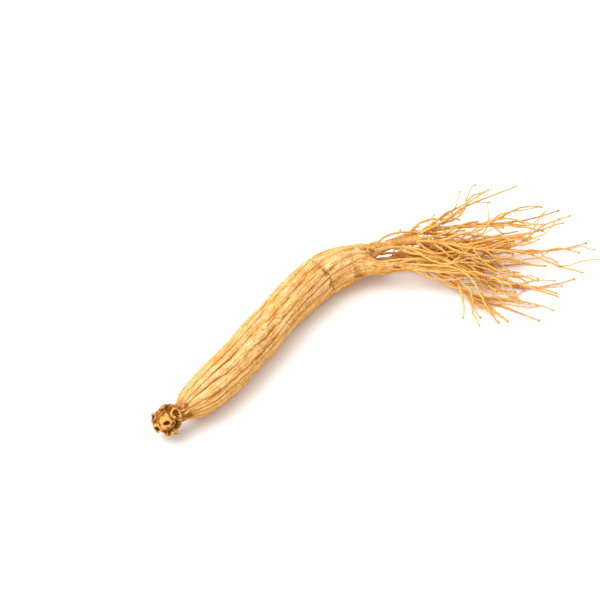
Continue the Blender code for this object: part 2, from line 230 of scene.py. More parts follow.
# How far noise bends the cups' outlines. The radii that dents and markings are measured at
CROWN_BENDS = 0.15
DENTED_RADIUS = 6.4
MARKED_RADIUS = 7.0
POLE_TILT = 0.01
CROWN_RINGS = 225
CROWN_SIDES = 380

# The legs: points on each axis, with x, y, height and radius
LEGS = {
    "upper": [
        (24.0, 9.4, 10.2, 5.4), (34.0, 8.9, 11.4, 4.4), (43.5, 7.2, 12.2, 3.0),
        (48.0, 6.2, 12.5, 2.3), (53.0, 5.0, 12.6, 1.8), (63.5, 0.4, 12.0, 1.25),
        (73.0, -5.2, 10.2, 1.1), (82.0, -11.3, 8.0, 0.95), (92.0, -16.2, 6.4, 0.85),
        (104.0, -23.5, 5.2, 0.7), (115.0, -28.6, 5.0, 0.6), (126.5, -32.3, 6.0, 0.5),
    ],
    "middle": [
        (22.0, 7.0, 8.8, 5.4), (30.0, 4.6, 9.4, 4.6), (36.0, 0.9, 10.0, 3.4),
        (40.6, -2.9, 10.5, 2.5), (45.8, -6.4, 10.8, 2.0), (51.5, -9.3, 9.4, 1.6),
        (56.6, -12.2, 8.4, 1.35), (60.4, -16.8, 6.0, 1.1), (63.4, -23.4, 3.2, 0.9),
        (67.6, -31.0, 1.4, 0.8), (73.2, -40.4, 0.9, 0.65), (80.8, -57.0, 1.0, 0.5),
    ],
    "under": [
        (24.0, 8.6, 7.4, 4.4), (37.2, 6.4, 6.4, 2.5), (44.8, 4.6, 5.8, 1.95),
        (55.5, 4.6, 5.1, 1.8), (63.2, 1.6, 5.2, 1.5), (68.6, -4.2, 4.4, 1.25),
        (72.4, -12.0, 3.2, 1.0), (76.4, -21.0, 2.0, 0.85), (82.0, -30.0, 1.3, 0.7),
        (90.5, -38.0, 1.0, 0.6), (101.5, -42.0, 0.9, 0.5), (111.0, -43.6, 0.8, 0.45),
    ],
    "back": [
        (22.0, 11.0, 8.8, 4.4), (33.0, 11.8, 8.4, 2.9), (43.0, 12.0, 8.4, 1.9),
        (55.0, 11.4, 8.8, 1.5), (69.0, 9.2, 9.2, 1.2), (84.0, 4.6, 8.9, 0.95),
        (99.0, -2.4, 8.6, 0.8), (113.0, -8.6, 9.2, 0.6), (127.0, -12.4, 10.8, 0.5),
    ],
    "low": [
        (24.0, 10.0, 5.8, 3.4), (35.0, 11.2, 4.8, 2.4), (45.6, 8.2, 3.6, 1.7),
        (57.6, 4.9, 2.6, 1.3), (69.0, -0.6, 1.9, 1.05), (78.0, -10.0, 1.4, 0.85),
        (88.0, -18.6, 1.1, 0.7), (101.0, -25.0, 0.9, 0.5),
    ],
}
LEG_STEP = 0.42
LEG_SIDES = 56
LEG_LINES = 14
LEG_TAPER = 0.45
LEG_TWIST = 0.4
# Painted shade that darkens each leg's tone away from the body
LEG_PAINTED_SHADE = 0.21
# A leg's wrinkles reach their full depth at this radius. Legs' markings lie this far apart in the noise
LEG_FULL_RADIUS = 2.8
MARKINGS_APART = 31.0
# Webs: from how near the body and a leg swell towards each other, and two legs towards each other. They
# are on a leg's first part. The body looks for its legs' first part, and a leg looks for its sisters'
# first part and for the body's last
LEG_BLEND = 3.4
SISTER_BLEND = 2.2
WEB_LENGTH = 42.0
LEG_ROOT = 40.0
SISTER_ROOT = 48.0
TRUNK_FROM = 64.0
# How many points the line of a leg or twig has where rootlets grow from it
LINE_POINTS = 60

# Long rootlets: the leg each grows from, how far along it, and where its tip lies
LONG_ROOTLETS = [
    ("upper", 0.48, (125.0, -19.0, 9.0)),
    ("upper", 0.58, (115.5, -44.0, 2.0)),
    ("upper", 0.40, (104.0, -6.0, 15.0)),
    ("upper", 0.70, (118.0, -37.5, 7.5)),
    ("middle", 0.42, (97.5, -50.5, 1.2)),
    ("middle", 0.55, (90.0, -55.5, 0.9)),
    ("middle", 0.62, (66.0, -49.0, 0.8)),
    ("under", 0.45, (105.0, -32.0, 2.4)),
    ("under", 0.62, (98.0, -47.5, 1.0)),
    ("back", 0.38, (121.0, 9.0, 13.5)),
    ("back", 0.55, (126.0, -2.5, 7.0)),
    ("back", 0.30, (98.0, 16.5, 5.0)),
    ("low", 0.45, (112.0, -14.0, 3.0)),
    ("low", 0.30, (92.0, 8.0, 1.2)),
]
SIDE_ROOTLETS = {"upper": 6, "middle": 5, "under": 5, "back": 6, "low": 5}
SEED = 21
SIDE_START = (0.2, 0.65)
SIDE_LENGTH = (22.0, 44.0)
SIDE_SPREAD = (0.12, 0.5)
SIDE_LIFT = (-0.3, 0.3)
# Rootlets: each one's radius at its root and its tip, its root's share of its parent's radius at most,
# the number of its slow waves, their swing as a share of its reach, and their rise as a share of that
ROOTLET_THICK = (0.75, 0.42)
ROOTLET_SHARE = 0.62
WAVES = (0.7, 1.5)
WAVE = 0.05
BOB = 0.6
# How far before its tip a rootlet's last bend is, and how much higher, as shares of its reach. How far
# above the floor its line and then its skin stay
LAST_BEND = 0.3
BEND_LIFT = 0.06
TABLE_GAP = 0.12
SKIN_GAP = 0.03
ROOTLET_RINGS = 46
ROOTLET_SIDES = 9
# Small kinks move a rootlet's line, and fade out near its ends. Warts and its foot widen it, and it
# thins once more to its tip. Each rootlet's own shade is darker by up to a share
KINK = 0.32
KINK_LENGTH = 3.4
KINK_CLEAR = 4.0
WART = 0.16
FOOT = 0.5
FOOT_LENGTH = 1.2
THINNING = 0.26
ROOTLET_SHADES = 0.42
SHADE_FADES = 0.75
# Every tip: how far from the end its bulb lies, the bulb's width, how soon the end rounds off, and how
# far back its colour reaches
BULB_AT = 0.55
BULB_WIDTH = 0.42
TIP_ROUNDING = 0.3
TIP_COLOURED = 2.0

# Thin rootlets that sweep out from the legs' first half into a fan round a middle
SWEEPS = {"upper": 9, "middle": 8, "under": 8, "back": 6, "low": 5}
SWEEP_SEED = 98
FAN_MIDDLE = (45.0, -2.0)
FAN_REACH = (34.0, 66.0)
FAN_TURN = 0.5
SWEEP_START = (0.12, 0.54)
SWEEP_THICK = (0.6, 0.4)
BOW = 0.2
ROOM = ((-90.0, -58.0, 0.55), (126.5, 16.0, 17.0))

# Hair-fine rootlets: how many grow from each leg and from each rootlet above, between which shares of
# its length, and how long they are
FINE_SEED = 41
FINE_ON_LEG = (6, (0.22, 0.78), (14.0, 38.0))
FINE_ON_ROOTLET = (1, (0.15, 0.78), (12.0, 26.0))
FINE_SPREAD = (0.08, 0.5)
FINE_THICK = (0.38, 0.3)
FINE_RINGS = 30
FINE_SIDES = 6

# Small growths where the legs fork: a curled rootlet, a strand under the middle leg, and two stray ones
TWIGS = [
    [(38.6, 9.4, 13.8, 0.6), (39.4, 9.0, 14.7, 0.55), (40.6, 8.3, 15.5, 0.5), (42.2, 7.6, 16.2, 0.46),
     (43.5, 7.0, 16.2, 0.42), (44.3, 6.5, 15.6, 0.4), (44.8, 6.2, 14.8, 0.38), (45.1, 6.3, 13.6, 0.36)],
    [(29.0, 4.4, 5.4, 0.6), (34.0, 0.6, 6.8, 0.55), (37.6, -2.3, 7.8, 0.5), (40.9, -4.9, 8.4, 0.45),
     (43.9, -6.6, 9.0, 0.42), (47.0, -8.4, 9.6, 0.36)],
    [(59.4, -13.6, 6.4, 0.6), (61.5, -16.2, 6.4, 0.5), (63.4, -18.0, 6.6, 0.42),
     (65.9, -20.4, 6.2, 0.3)],
    [(53.4, 2.6, 12.2, 0.7), (57.7, -2.6, 12.4, 0.6), (60.8, -6.3, 11.6, 0.55), (65.2, -10.5, 9.8, 0.5),
     (68.8, -14.9, 8.0, 0.42), (71.1, -18.3, 7.0, 0.35), (75.6, -25.0, 4.2, 0.3)],
]
TWIG_SIDES = 10

# The camera: what it looks at in the drawing, how high and how far round it stands, and its lens. Then
# the way to the key light from there, and its colour
VIEW_TARGET = (0.0, 0.0, 9.0)
VIEW_ELEVATION = math.radians(40.0)
VIEW_TURN = math.radians(33.0)
VIEW_DISTANCE = 683.3
LENS = 100.0
SENSOR = 36.0
KEY_WAY = (-0.50, 0.24, 0.83)
KEY_COLOUR = (1.0, 0.975, 0.94)

# Each finish: its grain's size in millimetres, how far the grain is drawn out along the root, how high
# it stands in millimetres, and the skin's roughness
FINISHES = {
    "furrowed_skin": (0.8, 1.25, 0.19, 0.6),
    "crown_bark": (0.5, 1.0, 0.14, 0.7),
    "leg_skin": (0.75, 1.4, 0.17, 0.6),
    "rootlet_skin": (0.4, 3.0, 0.05, 0.55),
}
GLOSS = 0.06
PORE_SPACING = 3.1
PORE_AMOUNT = 0.16

# Noise has this many slopes to choose from, and these large odd numbers scatter its cells among them.
# A curve has this many rows from one of its points to the next
SLOPES = 4096
SCATTER = (73856093, 19349663, 83492791)
CURVE_STEPS = 24


def metres(points):
    """Points of the drawing, in metres in the frame."""
    return (np.asarray(points, float) - [*BOX_MIDDLE, 0.0]) * MM


def between(ends, share):
    """A value between two by a share."""
    return ends[0] + (ends[1] - ends[0]) * share


def around(sides):
    """The angles of points evenly spaced round a ring."""
    return 2 * math.pi * np.arange(sides) / sides


def unit(vectors):
    """Each vector over its own length."""
    vectors = np.asarray(vectors, float)
    return vectors / np.linalg.norm(vectors, axis=-1, keepdims=True)


def eased(value):
    """0 below 0, 1 above 1, and 3 v^2 - 2 v^3 between."""
    value = np.clip(value, 0, 1)
    return value * value * (3 - 2 * value)


def peak(distance, width):
    """1 where the distance is 0, and away from there e to the minus square of distance over width."""
    return np.exp(-((distance / width) ** 2))


def noise(points, seed):
    """Smooth noise, about -1 to 1, with one bump to a unit: each corner of the unit cell round a point
    has a random slope, and what the eight slopes give there is blended by the point's place in it."""
    slopes = unit(np.random.default_rng(seed).normal(size=(SLOPES, 3)))
    cell = np.floor(points).astype(np.int64)
    place = points - cell
    blend = place**3 * (place * (place * 6 - 15) + 10)
    total = np.zeros(points.shape[:-1])
    for corner in itertools.product((0, 1), repeat=3):
        key = (cell + corner) * SCATTER
        slope = slopes[(key[..., 0] ^ key[..., 1] ^ key[..., 2]) & (SLOPES - 1)]
        share = np.where(corner, blend, 1 - blend).prod(axis=-1)
        total += share * ((place - corner) * slope).sum(axis=-1)
    return 1.5 * total


def layered(place, layers, seed=0):
    """The sum of layers of noise, each its amount x noise in cells of its size."""
    return sum(amount * noise(place / np.array(cell), seed + own) for amount, cell, own in layers)


def creases(place, length, spacing, sharpness, seed):
    """Lines that run along the first axis of place, 1 on a line and 0 away from it: the peak of noise
    round 0, in cells as long and as wide as is asked."""
    return peak(noise(place / (length, spacing, spacing), seed), sharpness)


def along_curve(points):
    """A smooth curve through points, as many close rows, and each row's distance along it. Each
    stretch between two points is a cubic that leaves and arrives along the line that joins their
    neighbours."""
    knots = np.array(points, float)
    before = np.vstack([2 * knots[0] - knots[1], knots[:-2]])
    after = np.vstack([knots[2:], 2 * knots[-1] - knots[-2]])
    fine = np.linspace(0, 1, CURVE_STEPS, endpoint=False)[:, None]
    rows = []
    for a, b, c, d in zip(before, knots[:-1], knots[1:], after):
        rows.append(
            0.5 * (2 * b + (c - a) * fine + (2 * a - 5 * b + 4 * c - d) * fine**2
                   + (3 * b - a - 3 * c + d) * fine**3)
        )
    rows = np.vstack([*rows, knots[-1:]])
    steps = np.linalg.norm(np.diff(rows[:, :3], axis=0), axis=1)
    return rows, np.concatenate([[0], np.cumsum(steps)])


def through(points, count):
    """A smooth curve through points, as count rows evenly spaced along it."""
    rows, along = along_curve(points)
    places = np.linspace(0, along[-1], count)
    return np.stack([np.interp(places, along, column) for column in rows.T], axis=1)


def spaced(points, step):
    """A smooth curve through points, as rows about a step apart."""
    return through(points, round(along_curve(points)[1][-1] / step))


def lengths_along(rows):
    """The distance of each row from its line's first one."""
    steps = np.linalg.norm(np.diff(rows[..., :3], axis=-2), axis=-1)
    return np.concatenate([np.zeros_like(steps[..., :1]), np.cumsum(steps, axis=-1)], axis=-1)


def first_part(rows, length):
    """Every second row of a line, as far as a length along it."""
    return rows[lengths_along(rows) < length][::2]


def outward_ways(rows, angles):
    """Unit vectors square to a line: across x cos angle + up x sin angle, where across is level."""
    forward = unit(np.gradient(rows[..., :3], axis=-2))
    across = unit(np.cross(UP, forward))
    up = np.cross(forward, across)
    return (across[..., None, :] * np.cos(angles)[..., None]
            + up[..., None, :] * np.sin(angles)[..., None])


def skin_place(along, angles, radius):
    """Where each point of a tube's skin lies for its markings, in millimetres: the distance along it,
    and a ring of the given radius. So markings stretch along the tube and meet all round it."""
    ring = radius * np.cos(angles), radius * np.sin(angles)
    return np.stack(np.broadcast_arrays(along, *ring), axis=-1)


def tube_distance(points, rows):
    """How far outside a tube's skin each point is: the least of its distances to the tube's axis
    points, each less the radius there."""
    gaps = np.linalg.norm(points[..., None, :] - rows[:, :3], axis=-1) - rows[:, 3]
    return gaps.min(axis=-1)


def web(points, tubes, blend):
    """How far a skin swells where it nears other tubes, as webs between fingers do: at a distance d
    from one, a quarter of the blend x (1 - |d| / blend)^2."""
    swell = np.zeros(points.shape[:-1])
    for rows in tubes:
        near = np.clip(1 - np.abs(tube_distance(points, rows)) / blend, 0, 1)
        swell = np.maximum(swell, blend / 4 * near**2)
    return swell


def parallel_lines(along, angles, place, count, seed):
    """A count of lines that run the length of a tube, side by side: how much each point lies in one,
    from 0 to 1, and how much it lies near one. The tube's turn, bent a little by noise, is cut into as
    many strips, each with a line as a peak down its middle. Each line comes and goes."""
    turn = angles / (2 * math.pi) * count + layered(place, LINE_BEND, seed)
    number = np.floor(turn) % count
    track = np.stack([along / LINE_LENGTH + 0 * number, number * 7.7, number * 3.1], axis=-1)
    strength = np.clip(0.6 + 1.1 * noise(track, seed + 2), 0.1, 1)
    width = LINE_WIDTH + 0.05 * noise(track * (1.7, 1.0, 1.0), seed + 3)
    gap = turn - np.floor(turn) - 0.5
    return strength * peak(gap, width), strength * peak(gap, width * LINE_DIP)


def wrinkled(along, angles, place, count):
    """The skin's own relief at a place on it: (height in millimetres for a depth of one, share of
    darker tone from 0 to 1). Parallel lines with twice as many thin ones between, and layers of creases
    that join and cross them, all on slow swells. The tone is darker in the lines and creases, partly the
    skin's own deeper lines and partly painted shade, and paler where the swells are high, as a painted
    highlight."""
    lines, beside = parallel_lines(along, angles, place, count, 1)
    thin, _ = parallel_lines(along, angles, place, 2 * count + 1, 71)
    rise = 0.5 + 0.5 * noise(place / (13.0, 5.0, 5.0), 5)
    height, hollow = 0.0, SKIN_TINT
    # Painted shade and highlight: the tone darkens in lines, dips and creases and pales on high swells
    for form, (sinks, tints) in zip((lines, beside, thin, layered(place, SWELLS)), SKIN_MIX):
        height = height - sinks * form
        hollow = hollow + tints * form
    for length, spacing, sharpness, seed, low, high, sinks, tints in CREASE_LAYERS:
        crease = creases(place, length, spacing, sharpness, seed) * between((low, high), rise)
        height = height - sinks * crease
        hollow = hollow + tints * crease
    return height, np.clip(hollow, 0, 1)


def scarred(points):
    """How deep and how brown the scars make each point: each is a peak of the distance from the line
    between the scar's ends."""
    sunk, brown = 0.0, 0.0
    for start, end, radius, depth, colour in SCARS:
        run = np.subtract(end, start)
        share = np.clip((points - start) @ run / (run @ run), 0, 1)[..., None]
        near = peak(np.linalg.norm(points - start - share * run, axis=-1), radius)
        sunk = sunk + depth * near
        brown = np.maximum(brown, colour * near)
    return sunk, np.clip(1.6 * brown * (0.8 + 1.1 * noise(points / 0.7, 15)), 0, 1)


def add_attribute(mesh, label, values):
    """One number or three for each point of a mesh."""
    kind, field = ("FLOAT_VECTOR", "vector") if values.shape[-1] == 3 else ("FLOAT", "value")
    written = mesh.attributes.new(label, kind, "POINT")
    written.data.foreach_set(field, values.astype(np.float32).ravel())


def in_scene(name, data):
    """A new object in the scene."""
    made = bpy.data.objects.new(name, data)
    bpy.context.scene.collection.objects.link(made)
    return made


def tube_faces(tubes, count, sides):
    """The faces of tubes whose points come tube by tube and ring by ring, each tube's two poles last:
    squares between its rings, and a fan of triangles from each pole to the ring beside it."""
    ring, side = np.meshgrid(np.arange(count - 1) * sides, np.arange(sides), indexing="ij")
    after = (side + 1) % sides
    quads = np.stack([ring + side, ring + after, ring + sides + after, ring + sides + side], axis=-1)
    side, after = side[0], after[0]
    pole, end = count * sides + 0 * side, (count - 1) * sides
    fans = np.concatenate([np.stack([after, side, pole], axis=-1),
                           np.stack([end + side, end + after, pole + 1], axis=-1)])
    starts = (np.arange(tubes) * (count * sides + 2))[:, None, None]
    faces = (quads.reshape(1, -1, 4) + starts).reshape(-1, 4).tolist()
    return faces + (fans[None] + starts).reshape(-1, 3).tolist()


def skinned(name, rings, values):
    """One object from tubes laid out as (tube, ring, side, xyz). The pole of each end ring is its
    middle. Values are laid out in the same way. What faces down is under, by the normal's height,
    as painted shade that deepens the skin's tone there."""
    tubes, count, sides = rings.shape[:3]

    def with_poles(grid):
        flat = grid.reshape(tubes, count * sides, -1)
        return np.concatenate([flat, grid[:, :1].mean(axis=2), grid[:, -1:].mean(axis=2)], axis=1)

    points = metres(with_poles(rings).reshape(-1, 3))
    points[:, 2] = np.maximum(points[:, 2], 0.0)
    mesh = bpy.data.meshes.new(name)
    mesh.from_pydata(points.tolist(), [], tube_faces(tubes, count, sides))
    for label, grid in values.items():
        if grid.ndim == 3:
            grid = np.broadcast_to(grid, rings.shape[:3])[..., None]
        add_attribute(mesh, label, with_poles(grid))
    mesh.shade_smooth()
    normals = np.empty(len(mesh.vertices) * 3, np.float32)
    mesh.vertices.foreach_get("normal", normals)
    # Painted shade: the skin's tone turns deeper on what faces down
    add_attribute(mesh, "under", eased(0.75 - 0.9 * normals.reshape(-1, 3)[:, 2:]))
    piece = in_scene(name, mesh)
    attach(piece, BODY)
    return piece


def body_rows():
    """The body's axis, from inside the crown to inside the fork."""
    return spaced([NECK_TAIL, *BODY_ROUTE, FORK_TAIL], BODY_STEP)


def leg_rows():
    """Each leg's axis, by its name."""
    return {name: spaced(route, LEG_STEP) for name, route in LEGS.items()}


def ring_scar(along, place):
    """The old scar round the body: (its depth from 0 to about 1, the height of its lip less its step).
    Its line wanders, and a peak across it comes and goes. A thin broken ring follows it."""
    past = along - SCAR_AT - layered(place, SCAR_WANDER)
    ring = peak(past, SCAR_WIDTH) * np.clip(0.55 + 1.4 * noise(place / 2.6, 12), 0, 1.2)
    after, width, depth = SECOND_RING
    ring += depth * peak(past - after, width) * (noise(place / 3.0, 14) > 0)
    before, width, height = SCAR_LIP
    lip = height * peak(past + before, width)
    fade, width, drop = SCAR_STEP
    return ring, lip - drop * eased(past / width) * np.exp(-np.maximum(past, 0) / fade)


def body_skin(sizes):
    """The body's rings: radius x (1 + oval + lumps) less its sixteen furrows and its scar, plus the
    skin's wrinkles, and webs where it nears the legs. A furrow's fold is 1 less a power of the sine
    across its ridge, and a crease that comes and goes follows its floor. Furrows are deepest at the
    shoulder and calmer beyond the ring scar."""
    rows = body_rows()
    neck = np.linalg.norm(np.subtract(NECK_TAIL[:3], BODY_ROUTE[0][:3]))
    along = (lengths_along(rows) - neck)[:, None]
    ahead = np.maximum(along, 0)
    radius = rows[:, 3:4]
    share = np.arange(BODY_SIDES) / BODY_SIDES
    angles = 2 * math.pi * share + RIDGE_TWIST * np.sin(along / TWIST_LENGTH)
    uneven = np.sin(3 * angles + 1) + np.sin(5 * angles + along / UNEVEN_LENGTH)
    angles = angles + RIDGE_UNEVENNESS * uneven
    place = skin_place(along, angles, MEAN_RADIUS)
    strip = share * RIDGES + layered(place, FURROW_WANDER)
    furrow = np.round(strip) % RIDGES
    fold = 1 - np.sin(math.pi * (strip % 1)) ** RIDGE_BREADTH
    fade = np.exp(-ahead / SHOULDER_LENGTH)
    beyond = 1 - SCAR_CALMS * eased((along - SCAR_AT) / CALMING_LENGTH)
    depth = between((BODY_FURROW, SHOULDER_FURROW), fade) * beyond
    depth = depth * (FURROW_SHARE + (1 - FURROW_SHARE) * np.sin(2.4 * furrow + along / FURROW_WAVE))
    depth = depth * np.minimum(1, radius / FULL_DEPTH_RADIUS)
    lumps = np.sin(along / LUMP_LENGTHS[0]) + np.sin(along / LUMP_LENGTHS[1] + 2 * angles)
    swell = 1 + OVAL * np.cos(2 * angles + along / OVAL_TURN) + LUMPS * lumps
    ring, lip = ring_scar(along, place)
    height, hollow = wrinkled(along, angles, place, BODY_LINES)
    calm = np.minimum(1, radius / MEAN_RADIUS) * (0.6 + 0.4 * eased(along / CALM_LENGTH))
    track = np.stack(np.broadcast_arrays(along / 6.0, furrow * 5.3, 0.0), axis=-1)
    broken = eased(0.75 + 1.1 * noise(track, 48))
    crease = beyond * peak(fold - 1, CREASE_WIDTH) * (0.3 * fade + (0.45 + 0.25 * fade) * broken)
    rough = np.exp(-ahead / 3.0) * layered(place, NECK_ROUGHNESS)
    reach = radius * swell - depth * fold - SCAR_DEPTH * ring + lip + rough
    reach += sizes.wrinkle_depth / MM * (height - CREASE_DEPTH * crease) * calm
    ways = outward_ways(rows, angles)
    points = rows[:, None, :3] + ways * reach[..., None]
    near = along[:, 0] > FORK_FROM
    legs = [first_part(leg, LEG_ROOT) for leg in leg_rows().values()]
    points[near] += ways[near] * web(points[near], legs, LEG_BLEND)[..., None]
    sunk, spots = scarred(points)
    points -= ways * sunk[..., None]
    hollow = hollow * (0.6 + 0.35 * eased(along / CALM_LENGTH))
    # Painted shade: creases and the fold across each furrow are darkened; the ring scar's tint is its own
    # colour
    hollow = hollow + CREASE_PAINTED_SHADE * crease + FURROW_PAINTED_SHADE * fold + RING_TINT * ring - PALER
    neck_brown = peak(ahead, NECK_LENGTH) * eased(0.9 + 1.4 * noise(place / 1.8, 18))
    ring_brown = 0.6 * ring * eased(0.1 + 2.0 * noise(place / 1.2, 13))
    brown = np.clip(neck_brown + ring_brown + spots, 0, 1)
    return points, {"place": place, "hollow": np.clip(hollow, 0, 1), "brown": brown}


def add_batch(arrays):
    """The same arrays as a batch of one tube."""
    points, values = arrays
    return points[None], {label: grid[None] for label, grid in values.items()}


def crown_cups(ways, bent):
    """The crown's cups on its stump, in every direction: (distance from the middle, distance of what is
    beneath it, share of dark hole floor, which is the floor's own dark colour and painted shade that
    grows with the cup's depth, share of rim). A cup is a profile of the distance from its own axis over
    its rim radius: a sunken floor, a rounded rim and a sloping flank. The crown is the greatest of the
    stump and the cups, eased over where two meet."""
    reach = STUMP_RADIUS + STUMP_STRETCH * np.abs(ways[..., 0]) + 0.5 * noise(ways * 2.1, 24)
    beneath, holes, rims = np.zeros((3, *reach.shape))
    for number, (way, rim_at, rim, deep, hole_radius) in enumerate(CUPS):
        cosine = np.clip(bent @ unit(way), 0.05, 1)
        spread = rim_at * np.sqrt(1 - cosine**2) / cosine / rim
        past = spread - SHOULDER
        inside = eased((hole_radius / rim - spread) / (0.6 * hole_radius / rim))
        cup = rim_at - deep * inside - FLANK * 0.5 * (past + np.sqrt(past**2 + 0.1))
        cup += layered(ways, RAGGED_RIMS, number) * eased(spread / 0.6)
        over = cup > reach
        beneath = np.maximum(beneath, np.minimum(reach, cup))
        lead = np.clip(0.5 + 0.5 * (cup - reach) / MERGE, 0, 1)
        reach = reach * (1 - lead) + cup * lead + MERGE * lead * (1 - lead)
        holes = np.where(over, eased(1.7 * inside) * min(1, deep / 1.8), holes)
        rims = np.where(over, eased(1.3 - np.abs(spread - 0.74) / 0.42), rims)
    return reach, beneath, holes, rims


def crown_dents(bent, reach, rims):
    """The crown with its dents: (distance from the middle, share of bowl, share of painted shade in a
    dent's middle, share of rim). Each dent scoops out depth x (1 - spread^2), so crests stay between
    dents, inside a pale rim."""
    bowls, painted_dent_shade = np.zeros((2, *reach.shape))
    for way, radius, deep, darkness in DENTS:
        spread = DENTED_RADIUS * np.arccos(np.clip(bent @ unit(way), -1, 1)) / radius
        scoop = np.maximum(0, 1 - spread**2)
        reach = reach - deep * scoop
        bowls = np.maximum(bowls, eased(scoop / 0.5))
        painted_dent_shade = np.maximum(painted_dent_shade, darkness * eased(scoop / 0.8))
        rims = np.maximum(rims * (1 - scoop), peak(spread - 1.1, 0.2))
    return reach, bowls, painted_dent_shade, rims


def crown_skin():
    """The crown, as a distance from its middle in every direction: its cups and dents, bent a little by
    noise, with a crevice where two cups meet, and roughened by grit and cracks. Holes are darkest, and
    painted shade darkens dark dents, low gaps between cups, crevices and cracks; the bark is brown, and
    browner below and in dark dents as painted shade, and pale on rims."""
    tilt = np.linspace(POLE_TILT, math.pi - POLE_TILT, CROWN_RINGS)[:, None]
    turn = around(CROWN_SIDES)
    ways = np.stack(np.broadcast_arrays(-np.cos(tilt), np.sin(tilt) * np.cos(turn),
                                        np.sin(tilt) * np.sin(turn)), axis=-1)
    bends = np.stack([layered(ways, CROWN_BEND, seed) for seed in (21, 22, 23)], axis=-1)
    bent = unit(ways + CROWN_BENDS * bends)
    reach, beneath, holes, rims = crown_cups(ways, bent)
    crevice = peak(reach - beneath, CREVICE_WIDTH)
    reach, bowls, painted_dent_shade, rims = crown_dents(bent, reach, rims)
    place = MARKED_RADIUS * ways
    cracks = peak(noise(place / 1.7, 44), 0.08) * (noise(place / 4.0, 46) > -0.1)
    reach = reach + layered(place, CROWN_GRIT) * (1 - 0.5 * bowls)
    reach = reach - CRACK_DEPTH * cracks - CREVICE_DEPTH * crevice
    # Painted shade: low gaps between the cups, crevices and cracks are darkened
    gap = eased((STUMP_RADIUS + 0.9 - reach) / 1.3) * (1 - bowls)
    hollow = np.clip(0.45 * cracks + 0.7 * crevice + 0.5 * gap, 0, 1)
    patches = eased(0.5 + 1.5 * noise(place / 2.6, 45))
    # Painted shade: the crown's lower side is browner
    lower = eased(0.35 - 0.8 * ways[..., 2])
    back = eased(0.4 + 1.2 * ways[..., 1])
    brown = CROWN_BROWN + PATCH_BROWN * patches + LOWER_PAINTED_SHADE * lower + DENT_PAINTED_SHADE * bowls * painted_dent_shade
    brown = np.clip(brown * (1 - RIM_PALER * rims * (1 - 0.6 * back)), 0, 1)
    # Painted shade: dark dents, low gaps and crevices take the cup floors' near black colour
    hole_and_painted_shade = np.clip(np.maximum(holes, painted_dent_shade) + 0.8 * gap**2 + 0.6 * crevice, 0, 1)
    points = np.array(CROWN_MIDDLE) + ways * reach[..., None]
    return points, {"place": place + (0.0, 20.0, 0.0), "hollow": hollow, "brown": brown, "hole_and_painted_shade": hole_and_painted_shade}


def tip_form(left, sizes):
    """A root's end, by the distance left to it: (how far its bulb swells, how its radius closes)."""
    bulb = sizes.tip_bulb / MM * peak(left - BULB_AT, BULB_WIDTH)
    return bulb, np.sqrt(np.clip(left / TIP_ROUNDING, 0.02, 1))


def leg_skin(name, sizes):
    """A leg's rings: its tapering radius, knobbly by slow noise, with the skin's wrinkles fading as it
    thins, painted shade that deepens its tone away from the body, webs where it nears the body and its
    sister legs, and a rounded tip."""
    rows = leg_rows()[name]
    seed = 50 + list(LEGS).index(name)
    along = lengths_along(rows)[:, None]
    marked = along + MARKINGS_APART * seed
    radius = rows[:, 3:4] * (1 - LEG_TAPER * (along / along[-1]) ** 1.5)
    angles = around(LEG_SIDES) + LEG_TWIST * np.sin(along / 21 + seed)
    place = skin_place(marked, angles, radius)
    height, hollow = wrinkled(marked, angles, place, LEG_LINES)
    # Painted shade: the leg's tone deepens away from the body
    hollow = np.clip(hollow + LEG_PAINTED_SHADE * eased((along - 12.0) / 22.0), 0, 1)
    bulb, close = tip_form(along[-1] - along, sizes)
    reach = radius * (1 + layered(place, LEG_KNOBS, seed))
    reach += sizes.wrinkle_depth / MM * height * np.minimum(1, radius / LEG_FULL_RADIUS)
    ways = outward_ways(rows, angles)
    points = rows[:, None, :3] + ways * ((reach + bulb) * close)[..., None]
    near = along[:, 0] < WEB_LENGTH
    body = body_rows()
    trunk = body[lengths_along(body) > TRUNK_FROM][::2]
    sisters = [first_part(leg, SISTER_ROOT) for key, leg in leg_rows().items() if key != name]
    swell = np.maximum(web(points[near], [trunk], LEG_BLEND), web(points[near], sisters, SISTER_BLEND))
    points[near] += ways[near] * swell[..., None]
    sunk, spots = scarred(points)
    points -= ways * sunk[..., None]
    brown = np.clip(0.4 * eased(noise(place / (3.0, 2.2, 2.2), seed + 20) * 3 - 1.2) + spots, 0, 1)
    return points, {"place": place, "hollow": hollow, "brown": brown}


def root_of(parent, start):
    """The row of a parent's line that a rootlet grows from, and the parent's heading there."""
    index = int(start * (len(parent) - 1))
    return parent[index], unit(parent[index + 1, :3] - parent[index - 1, :3])


